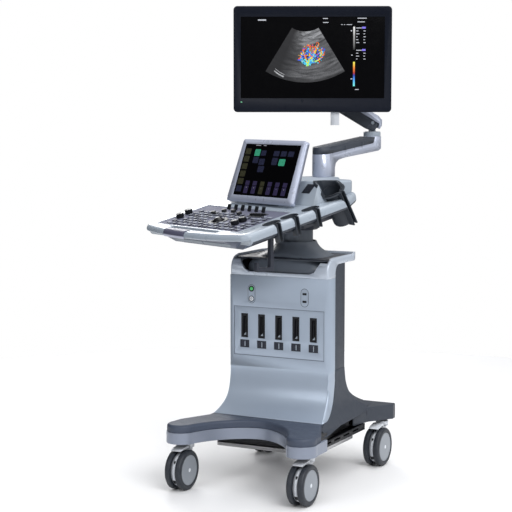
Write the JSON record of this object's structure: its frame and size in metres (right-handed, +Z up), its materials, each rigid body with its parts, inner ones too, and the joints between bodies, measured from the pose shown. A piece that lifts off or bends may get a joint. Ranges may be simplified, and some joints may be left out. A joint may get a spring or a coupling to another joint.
{
  "type": "ultrasound machine",
  "caption": "Wheeled medical ultrasound machine: braked casters, column with probe ports, lifting and swivelling console, touch screen, and a monitor on a jointed arm.",
  "frame": {"origin": "on the floor, under the middle of the machine's overall box at rest", "axes": "+X to the right of a user facing the machine, -Y towards that user, +Z up"},
  "size_m": [0.6559, 0.947, 1.5055],
  "materials": {
    "light_plastic": "satin moulded",
    "white_plastic": "satin moulded",
    "slate_plastic": "fine textured",
    "tread": "textured",
    "silver_paint": "satin",
    "black_plastic": "textured",
    "panel_plastic": "satin",
    "key_plastic": "satin",
    "dark_rubber": "soft",
    "tyre": "smooth",
    "monitor_dark": "gloss",
    "display": "anti-glare",
    "touch_glass": "gloss",
    "sheet_steel": "zinc plated",
    "black_steel": "powder coated",
    "mast_steel": "ground",
    "cast_alloy": "painted",
    "ball_plastic": "gloss"
  },
  "bodies": {
    "base": {"base_frame": "black_steel", "bottom_tray": "black_plastic", "power_supply": "sheet_steel", "base_bumper": "silver_paint", "footrest_cover": "tread", "rear_base_cover": "slate_plastic", "front_cover": "light_plastic", "column_cover": "slate_plastic", "top_trim": "light_plastic", "bell_cover": "slate_plastic", "port_panel": "light_plastic", "port_sockets": "black_plastic", "electronics_box": "sheet_steel", "rear_io_panel": "sheet_steel", "mast_sleeve": "mast_steel"},
    "latches": {"port_latches": "black_plastic"},
    "power_key": {"power_button": "white_plastic"},
    "caster_front_left": {"caster_front_left": "light_plastic"},
    "wheels_front_left": {"wheels_front_left": "tyre"},
    "pedal_front_left": {"pedal_front_left": "white_plastic"},
    "caster_front_right": {"caster_front_right": "light_plastic"},
    "wheels_front_right": {"wheels_front_right": "tyre"},
    "pedal_front_right": {"pedal_front_right": "white_plastic"},
    "caster_rear_left": {"caster_rear_left": "light_plastic"},
    "wheels_rear_left": {"wheels_rear_left": "tyre"},
    "pedal_rear_left": {"pedal_rear_left": "white_plastic"},
    "caster_rear_right": {"caster_rear_right": "light_plastic"},
    "wheels_rear_right": {"wheels_rear_right": "tyre"},
    "pedal_rear_right": {"pedal_rear_right": "white_plastic"},
    "lift": {"gas_cylinder": "mast_steel", "lift_mast": "mast_steel", "neck_collar": "slate_plastic"},
    "console": {"console_deck": "white_plastic", "control_panel": "panel_plastic", "console_tray": "black_plastic", "rear_pod": "light_plastic", "front_grip": "panel_plastic", "probe_holders": "dark_rubber", "cable_hook": "black_plastic"},
    "keys": {"key_caps": "key_plastic"},
    "toggles": {"paddles": "black_plastic"},
    "gain_sliders": {"tgc_sliders": "black_plastic"},
    "touch_screen": {"touch_frame": "light_plastic", "touch_glass": "touch_glass"},
    "drawer": {"keyboard_drawer": "panel_plastic"},
    "ball": {"trackball": "ball_plastic"},
    "knob_1": {"knob_1": "black_plastic"},
    "knob_2": {"knob_2": "black_plastic"},
    "knob_3": {"knob_3": "black_plastic"},
    "knob_4": {"knob_4": "black_plastic"},
    "lower_arm": {"lower_arm": "light_plastic", "lower_arm_cover": "slate_plastic"},
    "elbow": {"elbow": "white_plastic"},
    "upper_arm": {"upper_arm": "slate_plastic", "upper_arm_cover": "light_plastic"},
    "head": {"head_link": "cast_alloy"},
    "yoke": {"pan_yoke": "cast_alloy"},
    "monitor": {"monitor_shell": "monitor_dark", "monitor_bezel": "monitor_dark", "monitor_screen": "display"}
  },
  "joints": [
    {"name": "swivel_front_left", "type": "hinge", "parent": "base", "child": "caster_front_left", "pos_m": [-0.13085, -0.34304, 0.15], "axis": [0, 0, 1], "continuous": true},
    {"name": "roll_front_left", "type": "hinge", "parent": "caster_front_left", "child": "wheels_front_left", "pos_m": [-0.13085, -0.37904, 0.0625], "axis": [1, 0, 0], "continuous": true},
    {"name": "brake_front_left", "type": "hinge", "parent": "caster_front_left", "child": "pedal_front_left", "pos_m": [-0.13085, -0.36654, 0.1335], "axis": [1, 0, 0], "range_deg": [0, 6]},
    {"name": "swivel_front_right", "type": "hinge", "parent": "base", "child": "caster_front_right", "pos_m": [0.28315, -0.34304, 0.15], "axis": [0, 0, 1], "continuous": true},
    {"name": "roll_front_right", "type": "hinge", "parent": "caster_front_right", "child": "wheels_front_right", "pos_m": [0.28315, -0.37904, 0.0625], "axis": [1, 0, 0], "continuous": true},
    {"name": "brake_front_right", "type": "hinge", "parent": "caster_front_right", "child": "pedal_front_right", "pos_m": [0.28315, -0.36654, 0.1335], "axis": [1, 0, 0], "range_deg": [0, 6]},
    {"name": "swivel_rear_left", "type": "hinge", "parent": "base", "child": "caster_rear_left", "pos_m": [-0.13085, 0.22596, 0.15], "axis": [0, 0, 1], "continuous": true},
    {"name": "roll_rear_left", "type": "hinge", "parent": "caster_rear_left", "child": "wheels_rear_left", "pos_m": [-0.13085, 0.18996, 0.0625], "axis": [1, 0, 0], "continuous": true},
    {"name": "brake_rear_left", "type": "hinge", "parent": "caster_rear_left", "child": "pedal_rear_left", "pos_m": [-0.13085, 0.20246, 0.1335], "axis": [1, 0, 0], "range_deg": [0, 6]},
    {"name": "swivel_rear_right", "type": "hinge", "parent": "base", "child": "caster_rear_right", "pos_m": [0.28315, 0.22596, 0.15], "axis": [0, 0, 1], "continuous": true},
    {"name": "roll_rear_right", "type": "hinge", "parent": "caster_rear_right", "child": "wheels_rear_right", "pos_m": [0.28315, 0.18996, 0.0625], "axis": [1, 0, 0], "continuous": true},
    {"name": "brake_rear_right", "type": "hinge", "parent": "caster_rear_right", "child": "pedal_rear_right", "pos_m": [0.28315, 0.20246, 0.1335], "axis": [1, 0, 0], "range_deg": [0, 6]},
    {"name": "latch_slide", "type": "slide", "parent": "base", "child": "latches", "axis": [1, 0, 0], "range_m": [0, 0.011]},
    {"name": "power_press", "type": "slide", "parent": "base", "child": "power_key", "axis": [0, 1, 0], "range_m": [0, 0.0015], "stiffness_N_per_m": 600, "springref_m": -0.001},
    {"name": "lift_slide", "type": "slide", "parent": "base", "child": "lift", "axis": [0, 0, 1], "range_m": [-0.02, 0.18]},
    {"name": "console_swivel", "type": "hinge", "parent": "lift", "child": "console", "pos_m": [0.07615, 0.00296, 0.786], "axis": [0, 0, 1], "range_deg": [-5, 54.7]},
    {"name": "keys_press", "type": "slide", "parent": "console", "child": "keys", "axis": [0.0975, 0.2121, -0.9724], "range_m": [0, 0.0012], "stiffness_N_per_m": 4000, "springref_m": -0.0006},
    {"name": "toggles_tip", "type": "hinge", "parent": "console", "child": "toggles", "pos_m": [-0.00987, -0.18405, 0.85587], "axis": [0.9085, -0.4179, 0], "range_deg": [-12, 12], "stiffness_Nm_per_rad": 0.2},
    {"name": "gain_slide", "type": "slide", "parent": "console", "child": "gain_sliders", "axis": [0.4063, 0.8834, 0.2334], "range_m": [-0.008, 0.008]},
    {"name": "touch_tilt", "type": "hinge", "parent": "console", "child": "touch_screen", "pos_m": [0.02141, -0.11605, 0.882], "axis": [0.9085, -0.4179, 0], "range_deg": [-12, 8]},
    {"name": "drawer_slide", "type": "slide", "parent": "console", "child": "drawer", "axis": [-0.4063, -0.8834, -0.2334], "range_m": [0, 0.16]},
    {"name": "ball_roll", "type": "hinge", "parent": "console", "child": "ball", "pos_m": [-0.05349, -0.27889, 0.8195], "axis": [0.9085, -0.4179, 0], "continuous": true},
    {"name": "knob_turn_1", "type": "hinge", "parent": "console", "child": "knob_1", "pos_m": [-0.23306, -0.20504, 0.82685], "axis": [-0.0975, -0.2121, 0.9724], "continuous": true},
    {"name": "knob_turn_2", "type": "hinge", "parent": "console", "child": "knob_2", "pos_m": [-0.22699, -0.16073, 0.83712], "axis": [-0.0975, -0.2121, 0.9724], "continuous": true},
    {"name": "knob_turn_3", "type": "hinge", "parent": "console", "child": "knob_3", "pos_m": [0.03543, -0.33923, 0.82451], "axis": [-0.0975, -0.2121, 0.9724], "continuous": true},
    {"name": "knob_turn_4", "type": "hinge", "parent": "console", "child": "knob_4", "pos_m": [0.04662, -0.31013, 0.83198], "axis": [-0.0975, -0.2121, 0.9724], "continuous": true},
    {"name": "arm_swivel", "type": "hinge", "parent": "console", "child": "lower_arm", "pos_m": [0.11961, 0.09745, 0.9504], "axis": [0, 0, 1], "range_deg": [-110, 70]},
    {"name": "elbow_swivel", "type": "hinge", "parent": "lower_arm", "child": "elbow", "pos_m": [0.15065, 0.43566, 1.074], "axis": [0, 0, 1], "range_deg": [-90, 90]},
    {"name": "arm_pitch", "type": "hinge", "parent": "elbow", "child": "upper_arm", "pos_m": [0.15065, 0.43566, 1.12], "axis": [-0.4901, 0.8716, 0], "range_deg": [-12, 18]},
    {"name": "head_level", "type": "hinge", "parent": "upper_arm", "child": "head", "pos_m": [-0.03052, 0.33379, 1.24], "axis": [-0.4901, 0.8716, 0], "range_deg": [-18, 12]},
    {"name": "monitor_pan", "type": "hinge", "parent": "head", "child": "yoke", "pos_m": [-0.03052, 0.33379, 1.272], "axis": [0, 0, 1], "range_deg": [-60, 12]},
    {"name": "monitor_tilt", "type": "hinge", "parent": "yoke", "child": "monitor", "pos_m": [-0.00592, 0.28572, 1.323], "axis": [0.8902, 0.4555, 0], "range_deg": [-12, 10]}
  ],
  "couplings": [
    {"joint": "head_level", "follows": "arm_pitch", "ratio": -1}
  ]
}
